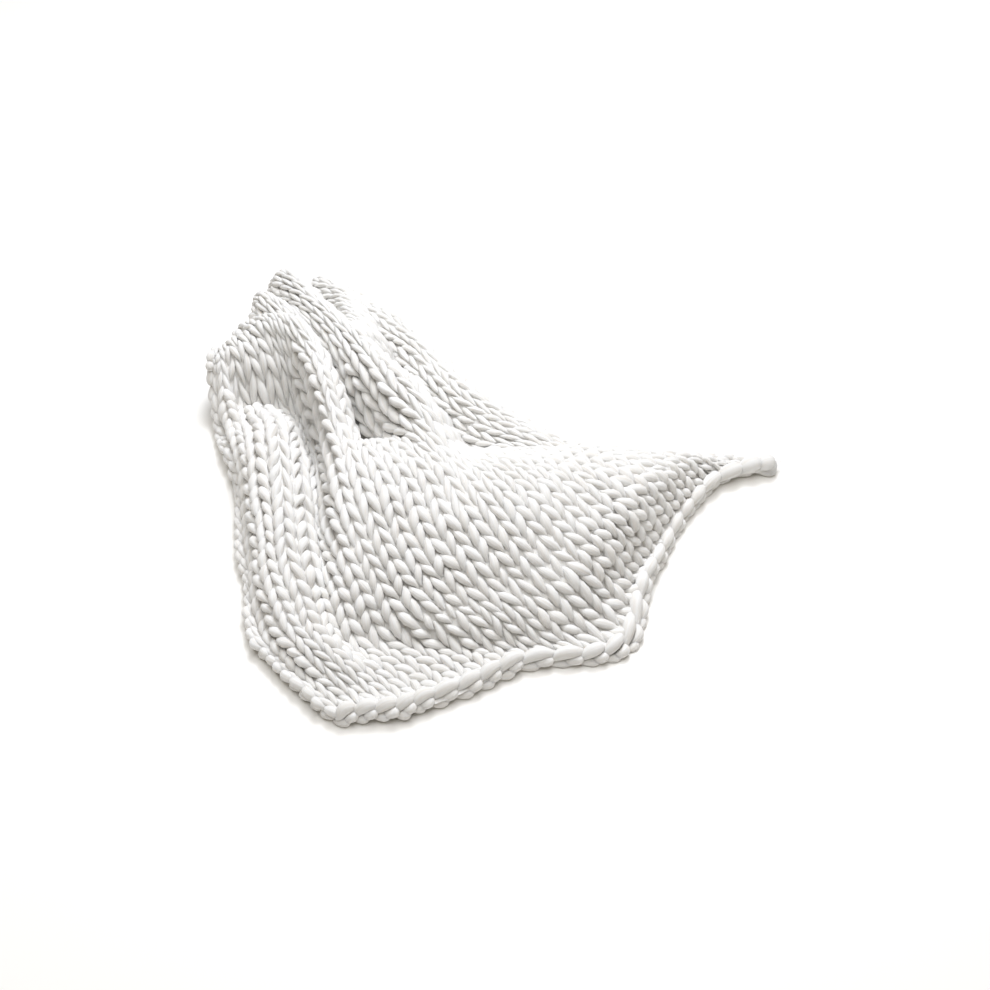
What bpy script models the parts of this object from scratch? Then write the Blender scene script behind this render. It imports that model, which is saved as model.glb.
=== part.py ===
"""A chunky hand-knitted blanket, thrown down and lying as it fell. Metres, z up, floor at z = 0."""
import math

import bpy
import numpy as np

for thing in list(bpy.data.objects):
    bpy.data.objects.remove(thing, do_unlink=True)

CLOTH = {
    "thickness": 0.034,     # doubled fat roving yarn, leg over leg
    "cells_across": 45,     # between the two selvages
    "cells_along": 42,      # from the gathered end to the cast-on edge
    "rim_bulge": 0.010,     # how far the rounded edge stands out of the outline
    "ease": 2,              # rounds of easing over the creases
    "settled": 0.006,       # cloth this close to the floor lies on it
    "back_down": (0.02, 0.09),      # share of the width over which the back selvage comes down
    "selvage_down": (0.01, 0.055),  # and the front-left one
    "gather_ends": (0.08, 0.30),    # share of the length where the bunched end opens out
    "end_down": (0.0, 0.034),       # share of the length over which the bunched end comes down
    "end_held": (0.86, 0.99),       # share of the width where the rolled corner holds it up
    "hem_down": (0.86, 1.0),        # share of the length over which the cast-on edge comes down
}

# The lie of the cloth on the floor: one row a section, from the gathered end (share 0) to the
# cast-on edge (share 1). Each pair is a plan position, back selvage first, front-left selvage last.
SECTION_COLUMNS = ("share", "back", "neck", "back_slope", "brow", "middle", "lap", "gutter", "selvage")
SECTIONS = [
    (0.0, (-.334, .658), (-.358, .654), (-.384, .649), (-.424, .637),
     (-.472, .624), (-.514, .580), (-.542, .462), (-.592, .330)),
    (0.2, (-.142, .456), (-.170, .432), (-.198, .409), (-.248, .375),
     (-.310, .350), (-.388, .318), (-.418, .300), (-.590, .262)),
    (0.4, (.038, .246), (.006, .223), (-.028, .202), (-.090, .170),
     (-.190, .145), (-.312, .112), (-.388, .098), (-.545, .105)),
    (0.6, (.208, .164), (.168, .129), (.126, .091), (.050, .015),
     (-.100, -.055), (-.262, -.098), (-.352, -.118), (-.502, -.090)),
    (0.8, (.408, .142), (.343, .084), (.285, .015), (.178, -.130),
     (.000, -.258), (-.190, -.295), (-.322, -.328), (-.450, -.322)),
    (1.0, (.598, .122), (.456, .076), (.386, -.010), (.304, -.170),
     (.234, -.342), (.060, -.390), (-.112, -.483), (-.296, -.508)),
]

# The pleats that fan out of the gathered end: a row a point of each crest line, with the rise of
# the cloth there and how far the pleat reaches to either hand, looking along it.
PLEAT_COLUMNS = ("x", "y", "rise", "right", "left")
PLEATS = {
    "flap": [
        (-.490, .215, .040, .060, .055),
        (-.462, .155, .092, .095, .060),
        (-.440, .090, .118, .110, .055),
        (-.412, .015, .125, .110, .050),
        (-.376, -.184, .095, .120, .050),
        (-.371, -.316, .060, .100, .060),
        (-.295, -.415, .026, .050, .045),
    ],
    "flap_rim": [
        (-.592, .312, .096, .085, .034),
        (-.555, .340, .122, .092, .042),
        (-.490, .362, .140, .095, .045),
        (-.430, .362, .150, .095, .045),
    ],
    "rolled_edge": [
        (-.590, .325, .098, .036, .032),
        (-.566, .235, .076, .036, .032),
        (-.540, .130, .055, .040, .036),
        (-.505, .010, .010, .040, .040),
    ],
    "second": [
        (-.536, .405, .120, .050, .050),
        (-.485, .385, .158, .055, .060),
        (-.418, .352, .172, .045, .050),
        (-.370, .265, .178, .036, .046),
        (-.338, .175, .172, .034, .048),
        (-.320, .095, .152, .038, .056),
        (-.306, .020, .130, .060, .070),
        (-.292, -.060, .100, .090, .080),
    ],
    "second_branch": [
        (-.528, .500, .138, .045, .045),
        (-.465, .448, .145, .050, .042),
        (-.405, .385, .140, .050, .042),
    ],
    "third": [
        (-.492, .556, .128, .050, .045),
        (-.450, .528, .162, .058, .050),
        (-.395, .442, .172, .060, .055),
        (-.333, .352, .178, .062, .068),
        (-.262, .254, .184, .068, .076),
        (-.150, .112, .180, .078, .074),
        (-.124, .040, .157, .090, .085),
        (-.105, -.040, .120, .100, .090),
    ],
    "third_branch": [
        (-.388, .592, .095, .050, .045),
        (-.340, .515, .125, .052, .052),
        (-.300, .420, .150, .055, .058),
        (-.268, .330, .165, .070, .070),
    ],
    "back": [
        (-.342, .580, .065, .050, .062),
        (-.226, .452, .092, .054, .066),
        (-.088, .250, .098, .064, .080),
        (.101, .085, .086, .100, .092),
        (.211, .065, .070, .120, .102),
    ],
}

# The long swell across the cloth, and the slack roll at its foot: crest line by x.
SWELL_COLUMNS = ("x", "y", "rise", "front", "behind")
SWELLS = {
    "swell": [
        (-.440, .020, .000, .330, .120),
        (-.349, .005, .100, .330, .140),
        (-.278, -.015, .140, .335, .170),
        (-.184, -.030, .152, .315, .190),
        (-.086, -.062, .160, .295, .200),
        (.086, -.067, .146, .285, .200),
        (.263, -.037, .112, .270, .190),
        (.375, -.004, .078, .210, .160),
        (.475, .055, .035, .140, .120),
        (.560, .090, .000, .120, .080),
    ],
    "toe": [
        (-.300, -.250, .000, .060, .060),
        (-.207, -.272, .042, .060, .070),
        (-.056, -.304, .056, .060, .090),
        (.112, -.311, .036, .050, .070),
        (.200, -.305, .000, .050, .060),
    ],
}

# The furrow between the front-left flap and the swell: what share of the rise is left, half width.
FURROW_COLUMNS = ("x", "y", "kept", "half")
FURROW = [
    (-.399, .190, .750, .030),
    (-.372, .110, .340, .040),
    (-.352, .010, .340, .045),
    (-.343, -.098, .360, .050),
    (-.325, -.215, .620, .050),
    (-.300, -.290, .920, .040),
]

BLEND = 6.0     # how sharply neighbouring folds meet


def smooth(knots, rows, at):
    """Rows of numbers at knots, read off along a smooth curve through them."""
    knots = np.asarray(knots, float)
    rows = np.asarray(rows, float)
    step = np.diff(knots)
    slope = np.diff(rows, axis=0) / step[:, None]
    tangent = np.vstack([slope[:1], (slope[:-1] * step[1:, None] + slope[1:] * step[:-1, None])
                         / (step[:-1] + step[1:])[:, None], slope[-1:]])
    i = np.clip(np.searchsorted(knots, at, side="right") - 1, 0, len(knots) - 2)
    gap = step[i][:, None]
    t = ((at - knots[i]) / step[i])[:, None]
    return ((1 + 2 * t) * (1 - t) ** 2 * rows[i] + t * (1 - t) ** 2 * gap * tangent[i]
            + t * t * (3 - 2 * t) * rows[i + 1] + t * t * (t - 1) * gap * tangent[i + 1])


def along(rows, count):
    """A line through points given in rows, x and y first, as count evenly spaced points."""
    rows = np.asarray(rows, float)
    reach = np.linalg.norm(np.diff(rows[:, :2], axis=0), axis=1)
    knots = np.concatenate([[0.0], np.cumsum(np.sqrt(reach))])
    fine = smooth(knots, rows, np.linspace(0.0, knots[-1], 4 * count))
    run = np.concatenate([[0.0], np.cumsum(np.linalg.norm(np.diff(fine[:, :2], axis=0), axis=1))])
    at = np.linspace(0.0, run[-1], count)
    return np.stack([np.interp(at, run, column) for column in fine.T], axis=-1)


def nearest(rows, x, y):
    """Distance to a line, which hand of it a place is on, and the line's other columns there."""
    line = along(rows, 48)
    best = np.full(x.shape, 1e9)
    hand = np.zeros_like(x)
    values = [np.zeros_like(x) for _ in range(line.shape[1] - 2)]
    for a, b in zip(line[:-1], line[1:]):
        dx, dy = b[0] - a[0], b[1] - a[1]
        length = math.hypot(dx, dy)
        t = np.clip(((x - a[0]) * dx + (y - a[1]) * dy) / length ** 2, 0.0, 1.0)
        ex, ey = x - (a[0] + t * dx), y - (a[1] + t * dy)
        distance = np.hypot(ex, ey)
        closer = distance < best
        best = np.where(closer, distance, best)
        hand = np.where(closer, (dx * ey - dy * ex) / length, hand)
        for k, value in enumerate(values):
            values[k] = np.where(closer, a[2 + k] + t * (b[2 + k] - a[2 + k]), value)
    return best, hand, values


def lift(x, y):
    """How far the middle of the cloth stands above where it would lie flat."""
    total = np.zeros_like(x)
    for rows in PLEATS.values():
        distance, hand, (rise, right, left) = nearest(rows, x, y)
        side = np.clip(hand / 0.03, -1.0, 1.0) * 0.5 + 0.5
        half = right + (left - right) * side
        total += (rise * np.clip(1.0 - (distance / half) ** 2, 0.0, 1.0)) ** BLEND
    for rows in SWELLS.values():
        rows = np.asarray(rows)
        at = np.clip(x.ravel(), rows[0, 0], rows[-1, 0])
        crest, rise, front, behind = smooth(rows[:, 0], rows[:, 1:], at).T.reshape(4, *x.shape)
        off = y - crest
        side = np.clip(off / 0.03, -1.0, 1.0) * 0.5 + 0.5
        half = front + (behind - front) * side
        rise = np.clip(rise, 0.0, 1.0)
        total += (rise * np.clip(1.0 - (off / half) ** 2, 0.0, 1.0)) ** BLEND
    total = total ** (1.0 / BLEND)
    distance, _, (kept, half) = nearest(FURROW, x, y)
    dip = np.clip(1.0 - (distance / half) ** 2, 0.0, 1.0) ** 2
    return total * (1.0 - (1.0 - kept) * dip)


def middle(x, y, kept=1.0):
    return CLOTH["thickness"] / 2 + kept * lift(x, y)


def ramp(at, start, end):
    t = np.clip((at - start) / (end - start), 0.0, 1.0)
    return t * t * (3 - 2 * t)


def kept_at(share, across):
    """How much of the rise is left near the selvages and the two ends, which lie on the floor."""
    down = 1.0 - ramp(across, *CLOTH["back_down"]) * ramp(1.0 - across, *CLOTH["selvage_down"])
    end = (1.0 - ramp(share, *CLOTH["end_down"])) * (1.0 - ramp(across, *CLOTH["end_held"]))
    hem = 1.0 - ramp(share, *CLOTH["hem_down"])
    return (1.0 - down * ramp(share, *CLOTH["gather_ends"])) * (1.0 - end) * hem


def share_out(line, count):
    """Points along one line, spaced half by run over the folds and half by run in plan."""
    run = np.concatenate([[0.0], np.cumsum(np.linalg.norm(np.diff(line[:, :3], axis=0), axis=1))])
    plan = np.concatenate([[0.0], np.cumsum(np.linalg.norm(np.diff(line[:, :2], axis=0), axis=1))])
    both = 0.6 * run / run[-1] + 0.4 * plan / plan[-1]
    at = np.linspace(0.0, 1.0, count)
    return np.stack([np.interp(at, both, column) for column in line.T], axis=-1)


def plan_grid():
    """Plan positions of the mesh, and the share of the rise kept: rows along, columns across."""
    across, length = CLOTH["cells_across"] + 1, CLOTH["cells_along"] + 1
    shares = np.array([row[0] for row in SECTIONS])
    curves = np.array([along(row[1:], 161).ravel() for row in SECTIONS])
    fine = smooth(shares, curves, np.linspace(0.0, 1.0, 121)).reshape(121, 161, 2)
    kept = kept_at(np.linspace(0.0, 1.0, 121)[:, None], np.linspace(0.0, 1.0, 161)[None, :])
    cloth = np.dstack([fine, middle(fine[..., 0], fine[..., 1], kept), np.broadcast_to(kept, fine.shape[:2])])
    rows = np.array([share_out(line, across) for line in cloth])
    step = np.linalg.norm(np.diff(rows[..., :3], axis=0), axis=2).mean(axis=1)
    run = np.concatenate([[0.0], np.cumsum(step)])
    at = np.linspace(0.0, run[-1], length)
    grid = np.empty((length, across, 4))
    for i in range(across):
        for k in range(4):
            grid[:, i, k] = np.interp(at, run, rows[:, i, k])
    return grid[..., 0], grid[..., 1], grid[..., 3]


def ease(z, passes):
    """Rounds a height over the mesh, each place taking a little from its neighbours."""
    for _ in range(passes):
        wide = np.pad(z, 1, mode="edge")
        around = (wide[:-2, 1:-1] + wide[2:, 1:-1] + wide[1:-1, :-2] + wide[1:-1, 2:]) / 4
        z = 0.5 * z + 0.5 * around
    return z


def faces_of_cloth(x, y, kept):
    """Top and underside: the cloth's middle thickened by a ball, held off by the floor."""
    radius = CLOTH["thickness"] / 2
    top = middle(x, y, kept) + radius
    under = middle(x, y, kept) - radius
    for share in (0.35, 0.65, 0.9):
        reach = radius * share
        rise = math.sqrt(radius ** 2 - reach ** 2)
        for k in range(12):
            angle = 2 * math.pi * (k + share) / 12
            near = middle(x + reach * math.cos(angle), y + reach * math.sin(angle), kept)
            top = np.maximum(top, near + rise)
            under = np.minimum(under, near - rise)
    top, under = ease(top, CLOTH["ease"]), ease(under, CLOTH["ease"])
    under[under < CLOTH["settled"]] = 0.0
    return top, np.maximum(under, 0.0)


def outward(ring):
    """Unit normals of a closed plan outline, pointing out of the cloth."""
    ahead = np.roll(ring, -1, axis=0) - np.roll(ring, 1, axis=0)
    normal = np.stack([ahead[:, 1], -ahead[:, 0]], axis=-1)
    normal /= np.linalg.norm(normal, axis=1)[:, None]
    area = np.sum(ring[:, 0] * np.roll(ring[:, 1], -1) - np.roll(ring[:, 0], -1) * ring[:, 1])
    return normal if area > 0 else -normal


def make_blanket(name):
    x, y, kept = plan_grid()
    length, across = x.shape
    top, under = faces_of_cloth(x, y, kept)
    count = length * across
    points = [(x.flat[k], y.flat[k], top.flat[k]) for k in range(count)]
    points += [(x.flat[k], y.flat[k], under.flat[k]) for k in range(count)]
    faces = []
    for j in range(length - 1):
        for i in range(across - 1):
            a, b, c, d = (j * across + i, j * across + i + 1,
                          (j + 1) * across + i + 1, (j + 1) * across + i)
            faces += [(a, b, c, d), (count + d, count + c, count + b, count + a)]
    ring = [i for i in range(across - 1)]
    ring += [j * across + across - 1 for j in range(length - 1)]
    ring += [(length - 1) * across + i for i in range(across - 1, 0, -1)]
    ring += [j * across for j in range(length - 1, 0, -1)]
    outline = np.array([(x.flat[k], y.flat[k]) for k in ring])
    bulge = outline + CLOTH["rim_bulge"] * outward(outline)
    start = len(points)
    for k, vertex in enumerate(ring):
        half = 0.5 * (top.flat[vertex] + under.flat[vertex])
        points.append((bulge[k, 0], bulge[k, 1], half))
    size = len(ring)
    for k in range(size):
        a, b = ring[k], ring[(k + 1) % size]
        p, q = start + k, start + (k + 1) % size
        faces += [(b, a, p, q), (a + count, b + count, q, p)]
    points = np.array(points)
    points[:, :2] -= 0.5 * (points[:, :2].max(axis=0) + points[:, :2].min(axis=0))
    mesh = bpy.data.meshes.new(name)
    mesh.from_pydata(points.tolist(), [], faces)
    mesh.validate()
    mesh.update()
    blanket = bpy.data.objects.new(name, mesh)
    bpy.context.scene.collection.objects.link(blanket)
    return blanket


def wool():
    material = bpy.data.materials.new("wool")
    material.use_nodes = True
    shader = material.node_tree.nodes["Principled BSDF"]
    shader.inputs["Base Color"].default_value = (0.86, 0.84, 0.80, 1.0)
    shader.inputs["Roughness"].default_value = 0.9
    return material


blanket = make_blanket("blanket")
blanket.data.materials.append(wool())
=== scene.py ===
import math

import bpy
import numpy as np
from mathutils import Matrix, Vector


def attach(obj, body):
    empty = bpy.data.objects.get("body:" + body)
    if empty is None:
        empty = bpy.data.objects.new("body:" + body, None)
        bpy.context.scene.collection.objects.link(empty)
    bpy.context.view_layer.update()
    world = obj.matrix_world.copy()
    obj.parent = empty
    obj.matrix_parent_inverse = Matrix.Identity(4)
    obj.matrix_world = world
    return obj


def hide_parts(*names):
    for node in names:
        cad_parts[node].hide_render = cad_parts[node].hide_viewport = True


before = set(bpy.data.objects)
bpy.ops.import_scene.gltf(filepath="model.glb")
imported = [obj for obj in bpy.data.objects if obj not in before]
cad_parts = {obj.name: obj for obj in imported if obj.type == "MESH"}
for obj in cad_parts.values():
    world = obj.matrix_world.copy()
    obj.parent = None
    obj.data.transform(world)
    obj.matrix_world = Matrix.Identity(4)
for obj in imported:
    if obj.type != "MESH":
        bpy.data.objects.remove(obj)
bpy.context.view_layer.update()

scene = bpy.context.scene

# the camera looks down on the blanket at the photograph's angle
view = {
    "lookAt": (-0.0018, -0.0754, 0.050),
    "above": 48.0,          # degrees over the horizon
    "away": 3.20,
    "lens": 58.2,
    "sensor": 36.0,
}


def placeCamera():
    tilt = math.radians(view["above"])
    aim = Vector(view["lookAt"])
    camera = bpy.data.objects.new("camera", bpy.data.cameras.new("camera"))
    camera.location = aim + view["away"] * Vector((0.0, -math.cos(tilt), math.sin(tilt)))
    camera.rotation_euler = (aim - camera.location).to_track_quat("-Z", "Y").to_euler()
    camera.data.lens = view["lens"]
    camera.data.sensor_width = view["sensor"]
    scene.collection.objects.link(camera)
    scene.camera = camera


placeCamera()
print("camera placed")

# how the cloth lies, from the same tables as the solid's
lie = {
    "shift": (-0.00184, -0.07544),   # brings the middle of the solid's box to the frame's origin
    "thick": 0.034,
    "blend": 6.0,                    # how sharply the higher of two folds takes over from the lower
    "crest": 0.03,                   # half the width of a crest, where its two slopes meet
    # the stretches over which the folds die away, as shares of the width or of the length
    "backDown": (0.02, 0.09),
    "selvageDown": (0.01, 0.055),
    "gatherEnds": (0.08, 0.30),
    "hemDown": (0.86, 1.0),
    "endDown": (0.0, 0.034),
    "endHeld": (0.86, 0.99),         # where the bunched end still stands up, at its rolled corner
}
# places worked out along the cloth, across it, and along each crest line
sampled = {"down": 181, "across": 241, "crest": 48}
# sections from the bunched end (share 0) to the cast-on edge (share 1), each from the back
# selvage to the front-left one, as plan positions in metres
sections = [
    (0.0, (-.334, .658), (-.358, .654), (-.384, .649), (-.424, .637),
     (-.472, .624), (-.514, .580), (-.542, .462), (-.592, .330)),
    (0.2, (-.142, .456), (-.170, .432), (-.198, .409), (-.248, .375),
     (-.310, .350), (-.388, .318), (-.418, .300), (-.590, .262)),
    (0.4, (.038, .246), (.006, .223), (-.028, .202), (-.090, .170),
     (-.190, .145), (-.312, .112), (-.388, .098), (-.545, .105)),
    (0.6, (.208, .164), (.168, .129), (.126, .091), (.050, .015),
     (-.100, -.055), (-.262, -.098), (-.352, -.118), (-.502, -.090)),
    (0.8, (.408, .142), (.343, .084), (.285, .015), (.178, -.130),
     (.000, -.258), (-.190, -.295), (-.322, -.328), (-.450, -.322)),
    (1.0, (.598, .122), (.456, .076), (.386, -.010), (.304, -.170),
     (.234, -.342), (.060, -.390), (-.112, -.483), (-.296, -.508)),
]
# crest lines of the pleats: x, y, rise, reach to the right, reach to the left
pleats = {
    "flap": [
        (-.490, .215, .040, .060, .055), (-.462, .155, .092, .095, .060),
        (-.440, .090, .118, .110, .055), (-.412, .015, .125, .110, .050),
        (-.376, -.184, .095, .120, .050), (-.371, -.316, .060, .100, .060),
        (-.295, -.415, .026, .050, .045)],
    "flapRim": [
        (-.592, .312, .096, .085, .034), (-.555, .340, .122, .092, .042),
        (-.490, .362, .140, .095, .045), (-.430, .362, .150, .095, .045)],
    "rolledEdge": [
        (-.590, .325, .098, .036, .032), (-.566, .235, .076, .036, .032),
        (-.540, .130, .055, .040, .036), (-.505, .010, .010, .040, .040)],
    "second": [
        (-.536, .405, .120, .050, .050), (-.485, .385, .158, .055, .060),
        (-.418, .352, .172, .045, .050), (-.370, .265, .178, .036, .046),
        (-.338, .175, .172, .034, .048), (-.320, .095, .152, .038, .056),
        (-.306, .020, .130, .060, .070), (-.292, -.060, .100, .090, .080)],
    "secondBranch": [
        (-.528, .500, .138, .045, .045), (-.465, .448, .145, .050, .042),
        (-.405, .385, .140, .050, .042)],
    "third": [
        (-.492, .556, .128, .050, .045), (-.450, .528, .162, .058, .050),
        (-.395, .442, .172, .060, .055), (-.333, .352, .178, .062, .068),
        (-.262, .254, .184, .068, .076), (-.150, .112, .180, .078, .074),
        (-.124, .040, .157, .090, .085), (-.105, -.040, .120, .100, .090)],
    "thirdBranch": [
        (-.388, .592, .095, .050, .045), (-.340, .515, .125, .052, .052),
        (-.300, .420, .150, .055, .058), (-.268, .330, .165, .070, .070)],
    "back": [
        (-.342, .580, .065, .050, .062), (-.226, .452, .092, .054, .066),
        (-.088, .250, .098, .064, .080), (.101, .085, .086, .100, .092),
        (.211, .065, .070, .120, .102)],
}
# long swells by x: x, crest y, rise, reach in front, reach behind
swells = {
    "swell": [
        (-.440, .020, .000, .330, .120), (-.349, .005, .100, .330, .140),
        (-.278, -.015, .140, .335, .170), (-.184, -.030, .152, .315, .190),
        (-.086, -.062, .160, .295, .200), (.086, -.067, .146, .285, .200),
        (.263, -.037, .112, .270, .190), (.375, -.004, .078, .210, .160),
        (.475, .055, .035, .140, .120), (.560, .090, .000, .120, .080)],
    "toe": [
        (-.300, -.250, .000, .060, .060), (-.207, -.272, .042, .060, .070),
        (-.056, -.304, .056, .060, .090), (.112, -.311, .036, .050, .070),
        (.200, -.305, .000, .050, .060)],
}
# the furrow beside the flap: x, y, share of the rise kept, half width
furrow = [
    (-.399, .190, .750, .030), (-.372, .110, .340, .040), (-.352, .010, .340, .045),
    (-.343, -.098, .360, .050), (-.325, -.215, .620, .050), (-.300, -.290, .920, .040)]

shares = np.array([row[0] for row in sections])
down = np.linspace(0.0, 1.0, sampled["down"])
across = np.linspace(0.0, 1.0, sampled["across"])


def smooth(knots, rows, at):
    # a smooth curve through rows of numbers, read at any place between them
    knots, rows = np.asarray(knots, float), np.asarray(rows, float)
    step = np.diff(knots)
    slope = np.diff(rows, axis=0) / step[:, None]
    tangent = np.vstack([slope[:1], (slope[:-1] * step[1:, None] + slope[1:] * step[:-1, None])
                         / (step[:-1] + step[1:])[:, None], slope[-1:]])
    i = np.clip(np.searchsorted(knots, at, side="right") - 1, 0, len(knots) - 2)
    gap = step[i][:, None]
    t = ((at - knots[i]) / step[i])[:, None]
    return ((1 + 2 * t) * (1 - t) ** 2 * rows[i] + t * (1 - t) ** 2 * gap * tangent[i]
            + t * t * (3 - 2 * t) * rows[i + 1] + t * t * (t - 1) * gap * tangent[i + 1])


def alongLine(rows, count):
    # the smooth line through points in plan, at places evenly spaced along it
    rows = np.asarray(rows, float)
    reach = np.linalg.norm(np.diff(rows[:, :2], axis=0), axis=1)
    knots = np.concatenate([[0.0], np.cumsum(np.sqrt(reach))])
    fine = smooth(knots, rows, np.linspace(0.0, knots[-1], 4 * count))
    length = np.linalg.norm(np.diff(fine[:, :2], axis=0), axis=1)
    run = np.concatenate([[0.0], np.cumsum(length)])
    at = np.linspace(0.0, run[-1], count)
    return np.stack([np.interp(at, run, column) for column in fine.T], axis=-1)


def nearestOn(rows, x, y):
    # distance to a line, which side of it a place is on, and the line's values there
    line = alongLine(rows, sampled["crest"])
    best, hand = np.full(x.shape, 1e9), np.zeros_like(x)
    values = [np.zeros_like(x) for _ in range(line.shape[1] - 2)]
    for a, b in zip(line[:-1], line[1:]):
        dx, dy = b[0] - a[0], b[1] - a[1]
        length = math.hypot(dx, dy)
        t = np.clip(((x - a[0]) * dx + (y - a[1]) * dy) / length ** 2, 0.0, 1.0)
        ex, ey = x - (a[0] + t * dx), y - (a[1] + t * dy)
        distance = np.hypot(ex, ey)
        closer = distance < best
        best = np.where(closer, distance, best)
        hand = np.where(closer, (dx * ey - dy * ex) / length, hand)
        for k in range(len(values)):
            values[k] = np.where(closer, a[2 + k] + t * (b[2 + k] - a[2 + k]), values[k])
    return best, hand, values


def hump(off, half):
    return np.clip(1.0 - (off / half) ** 2, 0.0, 1.0)


def reachOn(off, first, second):
    # a fold's reach: one value on each side of its crest, passing into each other over it
    side = np.clip(off / lie["crest"], -1.0, 1.0) * 0.5 + 0.5
    return first + (second - first) * side


def liftAt(x, y):
    total = np.zeros_like(x)
    for rows in pleats.values():
        distance, hand, (rise, right, left) = nearestOn(rows, x, y)
        total += (rise * hump(distance, reachOn(hand, right, left))) ** lie["blend"]
    for rows in swells.values():
        rows = np.asarray(rows)
        at = np.clip(x.ravel(), rows[0, 0], rows[-1, 0])
        crest, rise, front, behind = smooth(rows[:, 0], rows[:, 1:], at).T.reshape(4, *x.shape)
        off = y - crest
        half = reachOn(off, front, behind)
        total += (np.clip(rise, 0.0, 1.0) * hump(off, half)) ** lie["blend"]
    total = total ** (1.0 / lie["blend"])
    distance, _, (kept, half) = nearestOn(furrow, x, y)
    return total * (1.0 - (1.0 - kept) * hump(distance, half) ** 2)


def ramp(at, start, end):
    t = np.clip((at - start) / (end - start), 0.0, 1.0)
    return t * t * (3 - 2 * t)


def blur(field, wide, axis):
    # a running mean with soft ends, to even out a field along one way
    bell = np.exp(-0.5 * (np.arange(-3 * wide, 3 * wide + 1) / wide) ** 2)
    bell /= bell.sum()
    padded = np.concatenate([np.repeat(np.take(field, [0], axis), 3 * wide, axis), field,
                             np.repeat(np.take(field, [-1], axis), 3 * wide, axis)], axis)
    return np.apply_along_axis(lambda line: np.convolve(line, bell, "valid"), axis, padded)


# how many stitches there are and where they go
gauge = {
    "wales": 26,            # columns of stitches from the back selvage to the front-left one
    "courses": 34,          # rows from the cast-on edge to the bunched end
    "closer": 0.28,         # how much closer the rows lie near the cast-on edge
    "closerFrom": (0.5, 0.8),
    "fine": 6,              # places worked out for each stitch, each way
    "band": 7,              # courses to a piece
    # which wale runs through each point of each section, counted from the back selvage
    "markWales": [(0, 1.0, 2.0, 4.2, 6.6, 12.4, 20.0, 26),
                  (0, 2.3, 4.2, 8.1, 11.8, 17.6, 20.6, 26),
                  (0, 1.8, 3.7, 6.9, 12.3, 17.8, 21.2, 26),
                  (0, 2.3, 4.6, 8.8, 14.1, 18.2, 21.3, 26),
                  (0, 2.6, 5.0, 9.2, 14.4, 18.8, 22.2, 26),
                  (0, 3.1, 5.5, 9.2, 13.1, 17.3, 21.7, 26)],
}
# how widely each field is evened out, in steps of its own net
ease = {
    "creases": (1, 2),      # along and across the cloth, as on the solid
    "crowding": (8, 7),     # changes in the spacing of the wales
    "waleLines": 9,
    "courseLines": 10,
    "facing": 3,
    "slip": 5,
}


def foldCloth():
    # the sections in plan, and the middle of the cloth with its folds
    curves = np.array([alongLine(row[1:], len(across)).ravel() for row in sections])
    plan = smooth(shares, curves, down).reshape(len(down), len(across), 2)
    low = 1.0 - ramp(across, *lie["backDown"]) * ramp(1.0 - across, *lie["selvageDown"])
    kept = 1.0 - low[None, :] * ramp(down, *lie["gatherEnds"])[:, None]
    kept *= 1.0 - ramp(down, *lie["hemDown"])[:, None]
    atEnd = 1.0 - ramp(down, *lie["endDown"])
    free = 1.0 - ramp(across, *lie["endHeld"])
    kept *= 1.0 - atEnd[:, None] * free[None, :]
    rise = liftAt(plan[..., 0], plan[..., 1]) * kept
    rise = blur(blur(rise, ease["creases"][0], 0), ease["creases"][1], 1)
    return curves, np.dstack([plan, rise + lie["thick"] / 2])


def numberWales(curves, cloth):
    # the wale that runs through each place: even over the folds between the marked points
    run = np.linalg.norm(np.diff(cloth, axis=1, prepend=cloth[:, :1]), axis=2).cumsum(axis=1)
    marks = []
    for curve, row in zip(curves, sections):
        spots = curve.reshape(-1, 2)
        nearest = [np.argmin(np.linalg.norm(spots - point, axis=1)) for point in row[1:]]
        marks.append([i / (len(across) - 1) for i in nearest])
    marks = smooth(shares, np.array(marks), down)
    numbers = smooth(shares, np.array(gauge["markWales"], float), down)
    wale = np.array([np.interp(length, np.interp(mark, across, length), number)
                     for length, mark, number in zip(run, marks, numbers)])
    crowd = blur(blur(np.diff(wale, axis=1), ease["crowding"][1], 1), ease["crowding"][0], 0)
    wale = np.cumsum(crowd, axis=1) / crowd.sum(axis=1)[:, None] * gauge["wales"]
    return np.concatenate([np.zeros((len(down), 1)), wale], axis=1)


def layWales(cloth, wale):
    # the cloth read along its wales, which run smoothly over the folds
    net = np.linspace(0.0, gauge["wales"], gauge["wales"] * gauge["fine"] + 1)
    share = np.array([np.interp(net, line, across) for line in wale])
    share[:, 0], share[:, -1] = 0.0, 1.0
    share = blur(share, ease["waleLines"], 0)
    laid = np.empty((len(down), len(net), 3))
    for i in range(len(down)):
        for k in range(3):
            laid[i, :, k] = np.interp(share[i], across, cloth[i, :, k])
    return laid


def layCourses(laid):
    # the wales divided into courses: even along each wale, eased between neighbours
    step = np.linalg.norm(np.diff(laid, axis=0), axis=2)
    step *= 1.0 + gauge["closer"] * ramp(down[1:], *gauge["closerFrom"])[:, None]
    run = np.concatenate([np.zeros((1, laid.shape[1])), np.cumsum(step, axis=0)], axis=0)
    run /= run[-1:]
    rows = np.linspace(0.0, 1.0, gauge["courses"] * gauge["fine"] + 1)
    share = np.array([np.interp(rows, line, down) for line in run.T]).T
    share = blur(share, ease["courseLines"], 1)
    net = np.empty((len(rows), laid.shape[1], 3))
    for i in range(laid.shape[1]):
        for k in range(3):
            net[:, i, k] = np.interp(share[:, i], down, laid[:, i, k])
    net = net[::-1]                         # row 0 is now the cast-on edge
    net[..., 0] += lie["shift"][0]
    net[..., 1] += lie["shift"][1]
    return net


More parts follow.
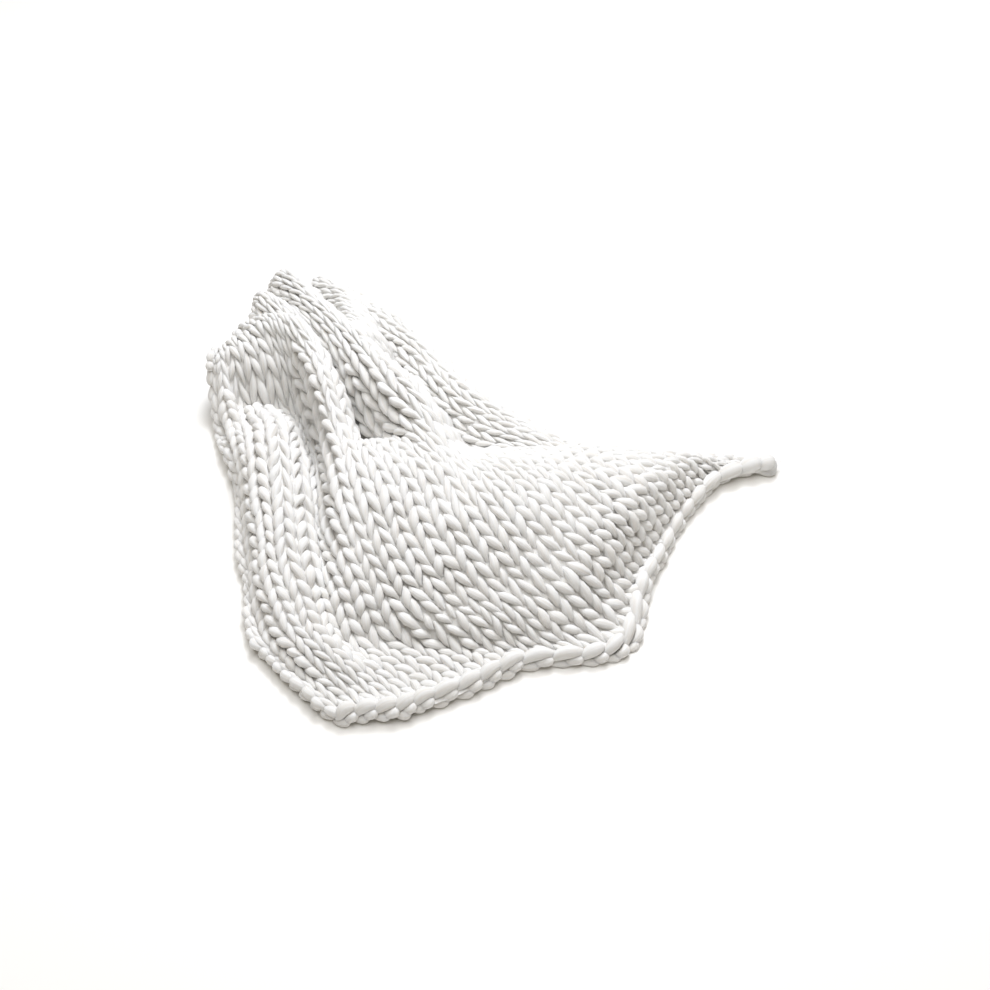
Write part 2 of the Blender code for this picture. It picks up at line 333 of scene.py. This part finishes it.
def faceUp(net):
    # which way the cloth faces at each place of the net
    facing = np.cross(np.gradient(net, axis=1), np.gradient(net, axis=0))
    facing /= np.linalg.norm(facing, axis=2)[..., None]
    facing *= np.sign(facing[..., 2:3])
    for k in range(3):
        facing[..., k] = blur(blur(facing[..., k], ease["facing"], 0), ease["facing"], 1)
    return facing / np.linalg.norm(facing, axis=2)[..., None]


curves, cloth = foldCloth()
place = layCourses(layWales(cloth, numberWales(curves, cloth)))
facing = faceUp(place)
stepAcross = np.gradient(place, axis=1) * gauge["fine"]
stepAlong = np.gradient(place, axis=0) * gauge["fine"]
courseHeight = np.linalg.norm(stepAlong, axis=2)
# where the cloth is pulled askew, a stitch still stands square to its own wale: how many courses
# a step of one wale slips, and how wide the wale is square to itself
slip = (stepAcross * stepAlong).sum(axis=2) / courseHeight ** 2
waleWidth = np.linalg.norm(stepAcross - slip[..., None] * stepAlong, axis=2)
slip = blur(blur(slip, ease["slip"], 0), ease["slip"], 1)
print("cloth laid: wale %.0f-%.0f mm, course %.0f-%.0f mm" % (
    1000 * np.percentile(waleWidth, 2), 1000 * np.percentile(waleWidth, 98),
    1000 * np.percentile(courseHeight, 2), 1000 * np.percentile(courseHeight, 98)))


def inside(wale, course):
    return np.clip(wale, 0, gauge["wales"]), np.clip(course, 0, gauge["courses"])


def readNet(net, wale, course):
    # reads a net at any wale and course; past an edge it runs straight on
    fine = gauge["fine"]
    a, b = np.asarray(wale, float) * fine, np.asarray(course, float) * fine
    i = np.clip(np.floor(a).astype(int), 0, net.shape[1] - 2)
    j = np.clip(np.floor(b).astype(int), 0, net.shape[0] - 2)
    s, t = a - i, b - j
    if net.ndim == 3:
        s, t = s[..., None], t[..., None]
    return ((1 - s) * (1 - t) * net[j, i] + s * (1 - t) * net[j, i + 1]
            + (1 - s) * t * net[j + 1, i] + s * t * net[j + 1, i + 1])


def unevenNet(seed, wide):
    # a gentle wander over the cloth, a stitch or two across
    rough = np.random.default_rng(seed).normal(size=place.shape[:2])
    rough = blur(blur(rough, wide, 0), wide, 1)
    return rough / rough.std()


# how the yarn strays from the net: how far, in wales, in courses and in metres outwards, and how
# widely each wander is evened out
loose = {
    "wale": {"far": 0.09, "wide": 7, "seed": 3},
    "course": {"far": 0.10, "wide": 7, "seed": 4},
    "out": {"far": 0.0018, "wide": 5, "seed": 5},
}
for spec in loose.values():
    spec["net"] = unevenNet(spec["seed"], spec["wide"])


def strayAt(kind, near):
    return loose[kind]["far"] * readNet(loose[kind]["net"], *near)


def onCloth(wale, course, out):
    # a place on the cloth, or a little out from it, and which way is up there
    near = inside(wale, course)
    out = np.asarray(out) + strayAt("out", near)
    wale = np.asarray(wale, float) + strayAt("wale", near)
    course = np.asarray(course, float) + strayAt("course", near)
    up = readNet(facing, *inside(wale, course))
    up = up / np.linalg.norm(up, axis=-1)[..., None]
    return readNet(place, wale, course) + up * out[..., None], up


def linear(hexColour):
    channels = [int(hexColour[i:i + 2], 16) / 255 for i in (1, 3, 5)]
    return [c / 12.92 if c <= 0.04045 else ((c + 0.055) / 1.055) ** 2.4 for c in channels] + [1.0]


def addNode(tree, kind, settings=None, links=None):
    node = tree.nodes.new(kind)
    for key, value in (settings or {}).items():
        if isinstance(key, int) or key in node.inputs:
            node.inputs[key].default_value = value
        else:
            setattr(node, key, value)
    for key, source in (links or {}).items():
        tree.links.new(source, node.inputs[key])
    return node


def newMaterial(name, settings):
    material = bpy.data.materials.new(name)
    material.use_nodes = True
    shader = material.node_tree.nodes["Principled BSDF"]
    for key, value in settings.items():
        shader.inputs[key].default_value = value
    return material, material.node_tree, shader


def addColours(tree, source, dark, light, start=0.0, end=1.0):
    colours = addNode(tree, "ShaderNodeValToRGB", {}, {"Fac": source})
    low, high = colours.color_ramp.elements
    low.position, low.color = start, linear(dark)
    high.position, high.color = end, linear(light)
    return colours.outputs["Color"]


wool = {
    "light": "#eae9e6",
    # the shade colour is partly painted shade, darker and warmer where the fibre relief is low, and
    # partly the fibres' own uneven tone
    "shade": "#e1ddd6",
    "shadeTo": 0.50,        # where in the noise the painted shade ends and the light colour is reached
    "lightFrom": 0.85,
    "rough": 0.92,
    "sheen": 0.25,
    "sheenRough": 0.5,
    "specular": 0.25,
    "glow": 0.5,
    "glowTint": (1.0, 0.97, 0.92),
    "glowMm": 5.0,
    "strandMm": 1.6,        # width of a lock of fibres; real fibres are 0.02 mm, too fine to show
    "lockMm": 5.0,
    "lengthMm": 60.0,
    "lockSlower": 0.6,      # the locks change more slowly than that along the yarn
    "strandNoise": (4.0, 0.6),      # detail and roughness
    "lockNoise": (2.0, 0.5),
    "strandShare": 0.5,     # how much the strands show beside the locks
    "relief": 0.7,
    "reliefMm": 1.8,
}


def fibreNoise(tree, fibre, perMetre, alongPerMetre, noiseLook):
    # noise drawn out along the yarn
    drawn = addNode(tree, "ShaderNodeMapping", {"Scale": (perMetre, perMetre, alongPerMetre)},
                    {"Vector": fibre.outputs["Vector"]})
    noise = addNode(tree, "ShaderNodeTexNoise",
                    {"Scale": 1.0, "Detail": noiseLook[0], "Roughness": noiseLook[1]},
                    {"Vector": drawn.outputs["Vector"]})
    return noise.outputs["Fac"]


def woolRoving(name):
    # unspun merino roving, hand-knitted: soft matt white with long fibres lying along the yarn,
    # and a little light passing between the loose fibres
    material, tree, shader = newMaterial(name, {
        "Roughness": wool["rough"],
        "Sheen Weight": wool["sheen"],
        "Sheen Roughness": wool["sheenRough"],
        "Specular IOR Level": wool["specular"],
        "Subsurface Weight": wool["glow"],
        "Subsurface Radius": wool["glowTint"],
        "Subsurface Scale": wool["glowMm"] / 1000,
    })
    fibre = addNode(tree, "ShaderNodeAttribute", {"attribute_name": "fibre"})
    alongPerMetre = 1000 / wool["lengthMm"]
    strand = fibreNoise(tree, fibre, 1000 / wool["strandMm"], alongPerMetre, wool["strandNoise"])
    lock = fibreNoise(tree, fibre, 1000 / wool["lockMm"], alongPerMetre * wool["lockSlower"],
                      wool["lockNoise"])
    both = addNode(tree, "ShaderNodeMath", {"operation": "MULTIPLY_ADD", 1: wool["strandShare"]},
                   {0: strand, 2: lock})
    # the same noise as the relief: its low places get the shade colour, painted shade in the
    # grooves between locks as well as uneven fibre tone
    colour = addColours(tree, both.outputs["Value"], wool["shade"], wool["light"],
                        wool["shadeTo"], wool["lightFrom"])
    tree.links.new(colour, shader.inputs["Base Color"])
    bump = addNode(tree, "ShaderNodeBump",
                   {"Strength": wool["relief"], "Distance": wool["reliefMm"] / 1000},
                   {"Height": both.outputs["Value"]})
    tree.links.new(bump.outputs["Normal"], shader.inputs["Normal"])
    return material


woolYarn = woolRoving("unspun merino roving")
print("wool made")


def addPiece(name, points, faces, fibre):
    # a piece of wool; a face with three corners has -1 for its fourth
    mesh = bpy.data.meshes.new(name)
    corners = [[v for v in face if v >= 0] for face in faces.tolist()]
    mesh.from_pydata(points.tolist(), [], corners)
    along = mesh.attributes.new("fibre", "FLOAT_VECTOR", "POINT")
    along.data.foreach_set("vector", fibre.ravel())
    mesh.shade_smooth()
    mesh.materials.append(woolYarn)
    piece = bpy.data.objects.new(name, mesh)
    scene.collection.objects.link(piece)
    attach(piece, "root")
    return piece


yarn = {
    "fat": 0.0104,          # half thickness of a leg where nothing presses it
    "share": 0.245,         # and as a share of the wale's width
    "slim": 0.0052,         # least half thickness, where the cloth is bunched
    "neck": 0.16,           # how thin the yarn gets at the crossings
    "taper": 5.2,           # how soon a leg narrows towards its ends
    "swing": 0.235,         # how far the legs lean out, in wales
    "tall": 1.08,           # half height of a loop, in courses
    "deep": 0.0080,         # how far legs stand out and heads sink in
    "leastDeep": 0.7,       # and the least share of that, where the yarn is slim
    "acrossLeg": 0.95,      # the yarn's section, as shares of its thickness
    "throughCloth": 1.02,
    "sides": 12,
    "steps": 20,            # rings to a stitch
    "uneven": 0.12,
    "unevenRow": 0.4,       # how much of that goes to where a row stands
    "caught": 0.12,         # how far inside the edges the end loops are caught, in courses
    "join": 0.12,           # over how much of a wale the yarn passes into the next stitch
    "fibreStep": 1.7,       # how far apart the fibres of two courses start, so that they differ
}


def newBundle():
    return {"points": [], "faces": [], "fibre": [], "count": 0}


def spin(bundle, path, half, up, start):
    # a strand of yarn along a path, its half thickness given ring by ring; what lies on the
    # floor is pressed flat
    sides = yarn["sides"]
    ahead = np.gradient(path, axis=0)
    ahead /= np.linalg.norm(ahead, axis=1)[:, None]
    side = np.cross(ahead, up)
    side /= np.maximum(np.linalg.norm(side, axis=1), 1e-9)[:, None]
    over = np.cross(side, ahead)
    turn = 2 * math.pi * np.arange(sides) / sides
    ring = (path[:, None, :] + half[:, None, None]
            * (yarn["acrossLeg"] * np.cos(turn)[None, :, None] * side[:, None, :]
               + yarn["throughCloth"] * np.sin(turn)[None, :, None] * over[:, None, :]))
    ring[..., 2] = np.maximum(ring[..., 2], 0.0)
    path = np.column_stack([path[:, :2], np.maximum(path[:, 2], 0.0)])
    length = np.linalg.norm(np.diff(path, axis=0), axis=1)
    run = start + np.concatenate([[0.0], np.cumsum(length)])
    strands = np.empty_like(ring)
    strands[..., 0] = yarn["fat"] * np.cos(turn)[None, :]
    strands[..., 1] = yarn["fat"] * np.sin(turn)[None, :]
    strands[..., 2] = run[:, None]
    n, first, around = len(path), bundle["count"], np.arange(sides)
    a = first + np.arange(n - 1)[:, None] * sides + around[None, :]
    b = first + np.arange(n - 1)[:, None] * sides + (around[None, :] + 1) % sides
    bundle["points"].append(ring.reshape(-1, 3))
    bundle["fibre"].append(strands.reshape(-1, 3))
    bundle["faces"].append(np.stack([a, a + sides, b + sides, b], axis=-1).reshape(-1, 4))
    bundle["count"] += n * sides
    for end, order in ((0, [0, 1, 2, 3]), (n - 1, [1, 0, 2, 3])):
        base, tip = first + end * sides, bundle["count"]
        fan = np.stack([base + around, base + (around + 1) % sides,
                        np.full(sides, tip), np.full(sides, -1)], axis=-1)
        bundle["points"].append(path[end:end + 1])
        bundle["fibre"].append(np.array([[0.0, 0.0, run[end]]]))
        bundle["faces"].append(fan[:, order])
        bundle["count"] += 1


# what differs from stitch to stitch
kinds = ["swing", "tall", "row", "plump"]
chance = np.random.default_rng(28)
wander = chance.normal(size=(gauge["courses"] + 2, gauge["wales"] + 2, len(kinds)))


def wanderAt(course, wale, kind):
    i = np.clip(np.floor(wale).astype(int), 0, gauge["wales"])
    t = ramp(wale - i, 0.0, 1.0)
    own = wander[course, :, kinds.index(kind)]
    return (1 - t) * own[i] + t * own[i + 1]


def knitCourse(bundle, course):
    # one course of stocking stitch: legs in front, heads and feet behind
    wales, courses, rough, join = gauge["wales"], gauge["courses"], yarn["uneven"], yarn["join"]
    along = np.linspace(0.0, wales, wales * yarn["steps"] + 1)
    turn = 2 * math.pi * along
    swing = yarn["swing"] * (1 + rough * wanderAt(course, along, "swing"))
    tall = yarn["tall"] * (1 + rough * wanderAt(course, along, "tall"))
    wale = along + swing * np.sin(2 * turn)
    row = course + 0.5 - tall * np.cos(turn)
    row += yarn["unevenRow"] * rough * wanderAt(course, along, "row")
    column = np.clip(np.floor(along), 0, wales - 1)
    own = ramp(along - column, 0.0, join) * ramp(column + 1 - along, 0.0, join)
    row -= own * (wale - column - 0.5) * readNet(slip, *inside(column + 0.5, row))
    row = np.clip(row, yarn["caught"], courses - yarn["caught"])
    width = readNet(waleWidth, along, np.full_like(along, course + 0.5))
    plump = np.clip(yarn["share"] * width, yarn["slim"], yarn["fat"])
    plump *= 1 + rough * wanderAt(course, along, "plump")
    narrow = np.abs(np.sin(turn)) ** yarn["taper"]
    half = plump * (yarn["neck"] + (1 - yarn["neck"]) * narrow)
    out = -yarn["deep"] * np.cos(2 * turn) * np.clip(plump / yarn["fat"], yarn["leastDeep"], 1.0)
    path, up = onCloth(wale, row, out)
    spin(bundle, path, half, up, course * yarn["fibreStep"])


edges = {
    "rope": 0.0132,         # half thickness of the long links along the cast-on edge
    "knob": 0.0098,         # and of the short turns under them and at the selvages
    "bindOff": 0.0092,
    "tail": 0.45,           # how much fatter they get where the corner is drawn into the tail
    "tailWales": 2.5,
    "tailEnd": 1.35,
    "castOnStray": 0.05,    # how far the turns stray, in stitches, along the cast-on edge
    "stray": 0.04,          # and along the others
    "underBindOff": 0.92,   # how much slimmer the second turns there and at the selvages are
    "underSelvage": 0.9,
    "rings": 13,
    "tip": 0.35,            # thickness of the tucked-in ends, as a share of the middle's
    "ropeTip": 0.3,
    "tailTip": 0.45,
    "full": 0.75,           # how soon the length between them fills out
    "apart": 40,            # how far apart the fibres of two kinds of turn start
}


def petal(bundle, wale, course, fat, start, bend, tip=edges["tip"]):
    # a short fat length of yarn whose ends are tucked in, such as a link of the edge chain,
    # through three points: wales and courses from its own stitch, and metres out
    at = np.linspace(0.0, 1.0, edges["rings"])
    points = np.array(bend) + (wale, course, 0.0)
    path, up = onCloth(*smooth(np.linspace(0.0, 1.0, len(points)), points, at).T)
    half = fat * (tip + (1 - tip) * np.sin(math.pi * at) ** edges["full"])
    spin(bundle, path, half, up, start)


def knitCastOn(bundle):
    # long links on top, short turns outside and under them
    knob, apart = edges["knob"], edges["apart"]
    for i in range(gauge["wales"]):
        j = chance.normal(size=4) * edges["castOnStray"]
        rope = edges["rope"] * (1 + edges["tail"] * math.exp(-(i / edges["tailWales"]) ** 2))
        petal(bundle, i, 0, rope, i, [
            (-0.25, 0.42 + j[0], 0.006), (0.45, 0.26, 0.014),
            (1.20, 0.02 + j[1], -0.002)], edges["ropeTip"])
        petal(bundle, i, 0, knob, i + apart, [
            (0.05, 0.16, 0.000), (0.40, -0.26 + j[2], 0.001), (0.85, -0.16, -0.009)])
        petal(bundle, i, 0, knob, i + 2 * apart, [
            (0.50, -0.12, -0.011), (0.85, -0.30 + j[3], -0.010), (1.25, 0.05, -0.014)])


def rollTail(bundle):
    # the end of the tail is rolled up tight
    fat = edges["rope"] * edges["tailEnd"]
    for k in range(3):
        out = 0.002 * (1 - k)
        petal(bundle, 0.1 * k, 0, fat, k + edges["apart"] / 2, [
            (-0.12, 0.75 - 0.3 * k, 2 * out), (0.10, 0.20 - 0.1 * k, 3 * out),
            (0.9, 0.1 * k, 2 * out)], edges["tailTip"])


def bindOff(bundle):
    courses, fat, apart = gauge["courses"], edges["bindOff"], edges["apart"]
    for i in range(gauge["wales"]):
        j = chance.normal(size=3) * edges["stray"]
        petal(bundle, i, courses, fat, i + 3 * apart, [
            (-0.1, -0.15, -0.002), (0.4, 0.12 + j[0], 0.006), (1.1, 0.02, -0.004)])
        petal(bundle, i, courses, fat * edges["underBindOff"], i + 4 * apart, [
            (0.1, 0.02, -0.006), (0.5, -0.22, 0.009), (1.0, -0.18, -0.002)])


def knitSelvage(bundle, side, sign):
    # two turns of yarn at the end of every course; sign is the way out of the cloth
    knob, apart = edges["knob"], edges["apart"]
    for k in range(gauge["courses"]):
        j = chance.normal(size=3) * edges["stray"]
        petal(bundle, side, k, knob, k + 5 * apart, [
            (-0.16 * sign, -0.15, 0.000), ((0.06 + j[0]) * sign, 0.45 + j[1], 0.004),
            (-0.12 * sign, 1.10, -0.003)])
        petal(bundle, side, k, knob * edges["underSelvage"], k + 6 * apart, [
            (-0.10 * sign, 0.20, -0.012), ((0.05 + j[2]) * sign, 0.75, -0.011),
            (-0.16 * sign, 1.25, -0.015)])


def pieceOf(name, bundle):
    parts = [np.concatenate(bundle[key]) for key in ("points", "faces", "fibre")]
    return addPiece(name, *parts)


def knitBands():
    made, courses, band = [], gauge["courses"], gauge["band"]
    for start in range(0, courses, band):
        bundle = newBundle()
        for course in range(start, min(start + band, courses)):
            knitCourse(bundle, course)
        made.append(pieceOf("stitches_%d" % (len(made) + 1), bundle))
    bundle = newBundle()
    knitCastOn(bundle)
    rollTail(bundle)
    bindOff(bundle)
    knitSelvage(bundle, 0, -1)
    knitSelvage(bundle, gauge["wales"], 1)
    made.append(pieceOf("edge_chain", bundle))
    return made


backing = {"raised": 0.002, "every": 2}


def layBacking():
    # the inner face of the cloth, seen only as shadow through the eyes between stitches
    skip = backing["every"]
    spots = (place + facing * backing["raised"])[::skip, ::skip]
    rows, cols = spots.shape[:2]
    corner = (np.arange(rows - 1)[:, None] * cols + np.arange(cols - 1)[None, :]).ravel()
    faces = np.stack([corner, corner + 1, corner + cols + 1, corner + cols], axis=-1)
    spots = spots.reshape(-1, 3)
    return addPiece("cloth_web", spots, faces, spots)


stitches = knitBands()
print("knitted", len(stitches), "pieces,", sum(len(p.data.polygons) for p in stitches), "faces")
web = layBacking()
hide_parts("blanket")

floor = {
    "half": 7.0,
    "height": -0.002,
    "rough": 0.9,
    "grain": 3.0,
    "dark": "#f6f4ef",
    "light": "#f8f6f1",
}


def paintedFloor():
    # a painted studio floor: matt, nearly white
    material, tree, shader = newMaterial("painted studio floor", {"Roughness": floor["rough"]})
    grain = addNode(tree, "ShaderNodeTexNoise", {"Scale": floor["grain"], "Detail": 2.0})
    colour = addColours(tree, grain.outputs["Fac"], floor["dark"], floor["light"])
    tree.links.new(colour, shader.inputs["Base Color"])
    return material


def layFloor():
    half = floor["half"]
    corners = [(-half, -half, 0), (half, -half, 0), (half, half, 0), (-half, half, 0)]
    mesh = bpy.data.meshes.new("floor")
    mesh.from_pydata(corners, [], [(0, 1, 2, 3)])
    mesh.materials.append(paintedFloor())
    ground = bpy.data.objects.new("floor", mesh)
    ground.location.z = floor["height"]
    scene.collection.objects.link(ground)


layFloor()
print("floor laid")

lights = {
    "key": {"at": (0.2, 1.7, 3.5), "size": 1.4, "power": 92, "tint": "#f1f5ff"},
    "panel": {"at": (0.0, -0.1, 5.0), "size": 5.0, "power": 212, "tint": "#f9fbff"},
    "aim": (0, 0, 0.05),
    "world": {"tint": "#fff4e4", "power": 0.20},
}


def lightStudio():
    for name in ("key", "panel"):
        spec = lights[name]
        lamp = bpy.data.objects.new(name, bpy.data.lights.new(name, "AREA"))
        lamp.data.shape = "DISK"
        lamp.data.size = spec["size"]
        lamp.data.energy = spec["power"]
        lamp.data.color = linear(spec["tint"])[:3]
        lamp.location = spec["at"]
        aim = Vector(lights["aim"]) - lamp.location
        lamp.rotation_euler = aim.to_track_quat("-Z", "Y").to_euler()
        scene.collection.objects.link(lamp)
    world = bpy.data.worlds.new("studio")
    world.use_nodes = True
    sky = world.node_tree.nodes["Background"]
    sky.inputs["Color"].default_value = linear(lights["world"]["tint"])
    sky.inputs["Strength"].default_value = lights["world"]["power"]
    scene.world = world
    scene.view_settings.view_transform = "Standard"


lightStudio()
print("studio lit")
